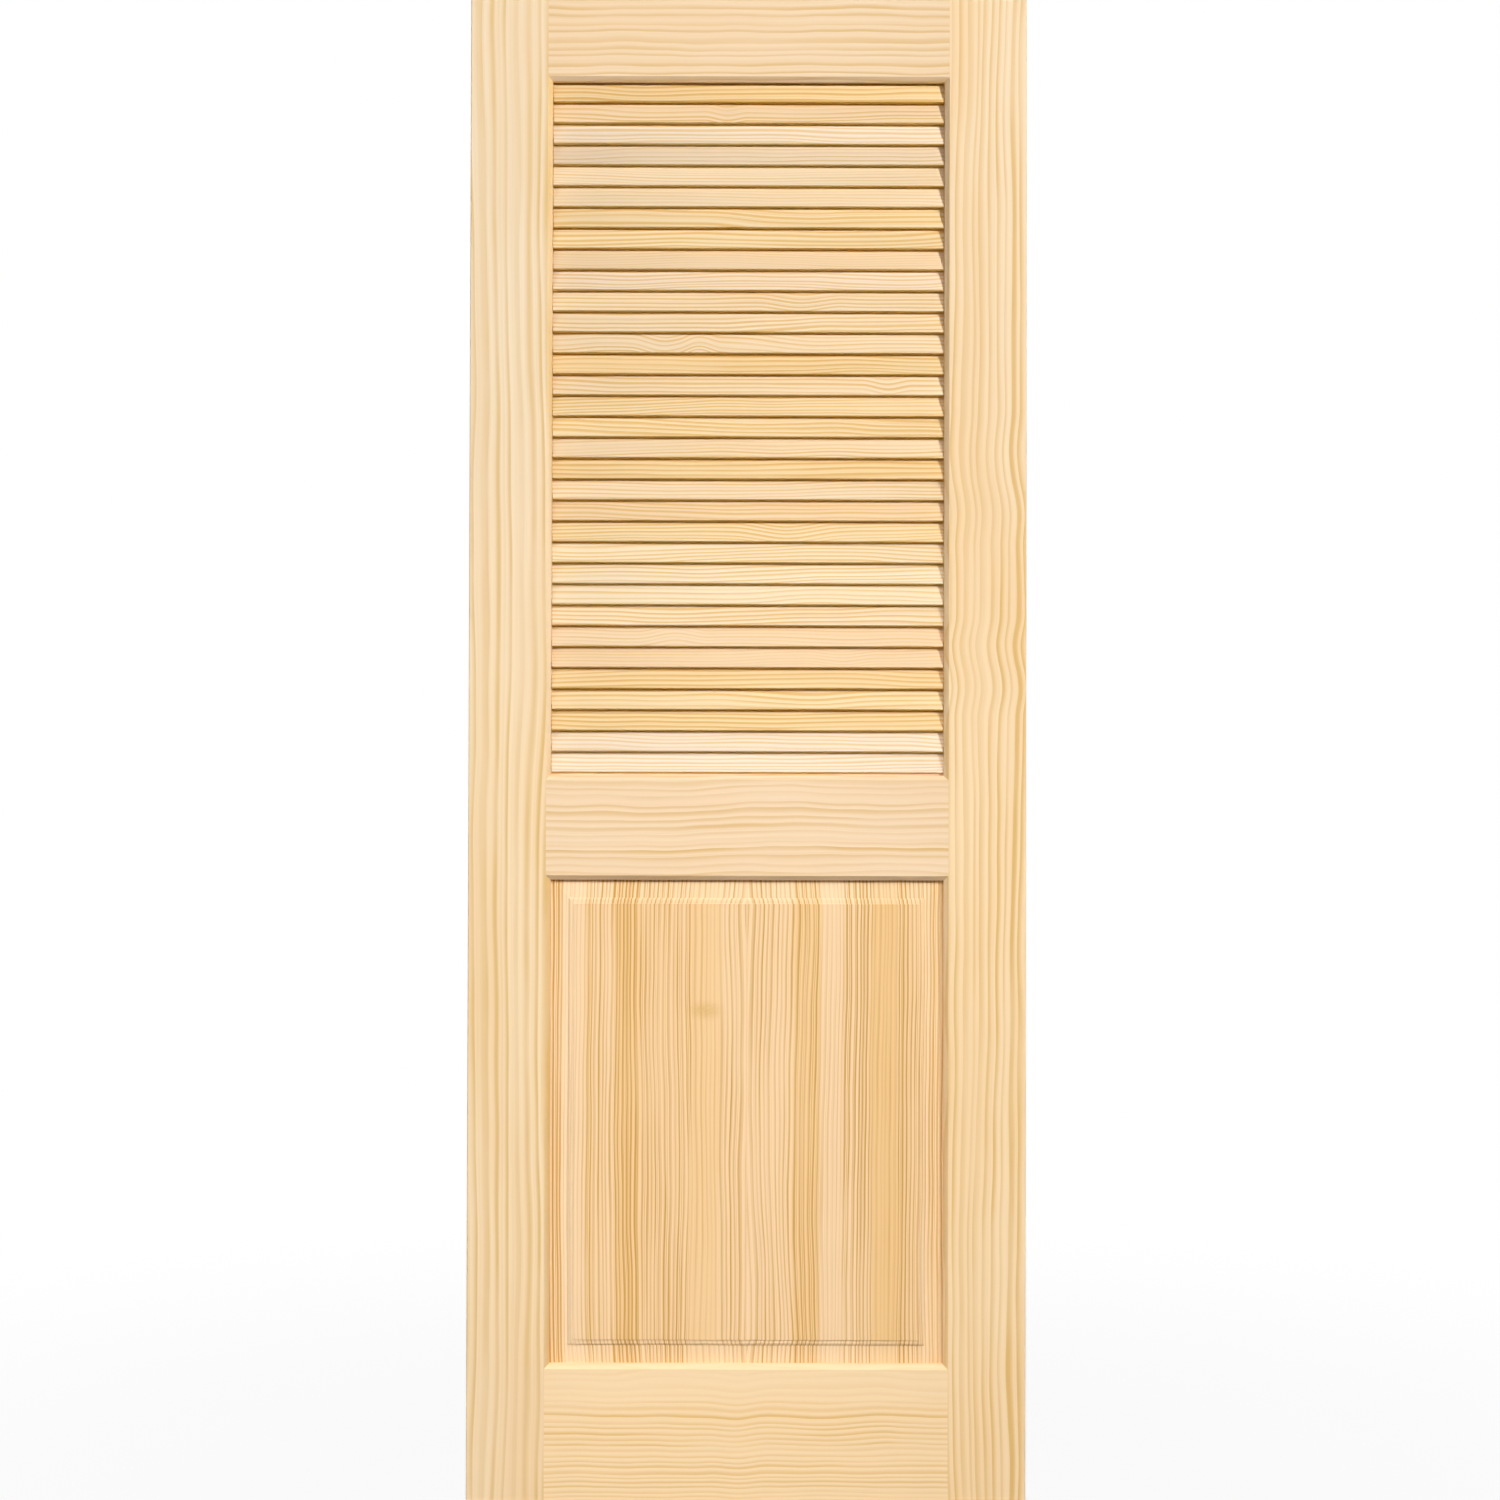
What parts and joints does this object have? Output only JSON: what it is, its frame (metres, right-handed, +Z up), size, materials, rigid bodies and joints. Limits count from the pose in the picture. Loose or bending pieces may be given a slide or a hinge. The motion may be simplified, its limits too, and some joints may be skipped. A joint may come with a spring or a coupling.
{
  "type": "louvred door leaf",
  "caption": "Unfinished pine interior door leaf: stiles and rails hold fixed sloping louvre slats above the lock rail and a raised panel below it.",
  "frame": {"origin": "on the hinge edge, the outer edge of the left stile, at the foot of the leaf and in the middle of its thickness", "axes": "+X from the hinge edge to the lock edge, front looks along -Y, +Z up"},
  "size_m": [0.755, 0.035, 2.032],
  "materials": {
    "stile_pine": "planed, unfinished",
    "rail_pine": "planed, unfinished",
    "panel_pine": "planed, unfinished",
    "slat_pine": "planed, unfinished"
  },
  "bodies": {
    "root": {"left_stile": "stile_pine", "right_stile": "stile_pine", "top_rail": "rail_pine", "lock_rail": "rail_pine", "bottom_rail": "rail_pine", "raised_panel": "panel_pine", "louvre_slat_01": "slat_pine", "louvre_slat_02": "slat_pine", "louvre_slat_03": "slat_pine", "louvre_slat_04": "slat_pine", "louvre_slat_05": "slat_pine", "louvre_slat_06": "slat_pine", "louvre_slat_07": "slat_pine", "louvre_slat_08": "slat_pine", "louvre_slat_09": "slat_pine", "louvre_slat_10": "slat_pine", "louvre_slat_11": "slat_pine", "louvre_slat_12": "slat_pine", "louvre_slat_13": "slat_pine", "louvre_slat_14": "slat_pine", "louvre_slat_15": "slat_pine", "louvre_slat_16": "slat_pine", "louvre_slat_17": "slat_pine", "louvre_slat_18": "slat_pine", "louvre_slat_19": "slat_pine", "louvre_slat_20": "slat_pine", "louvre_slat_21": "slat_pine", "louvre_slat_22": "slat_pine", "louvre_slat_23": "slat_pine", "louvre_slat_24": "slat_pine", "louvre_slat_25": "slat_pine", "louvre_slat_26": "slat_pine", "louvre_slat_27": "slat_pine", "louvre_slat_28": "slat_pine", "louvre_slat_29": "slat_pine", "louvre_slat_30": "slat_pine", "louvre_slat_31": "slat_pine", "louvre_slat_32": "slat_pine", "louvre_slat_33": "slat_pine"}
  },
  "joints": []
}
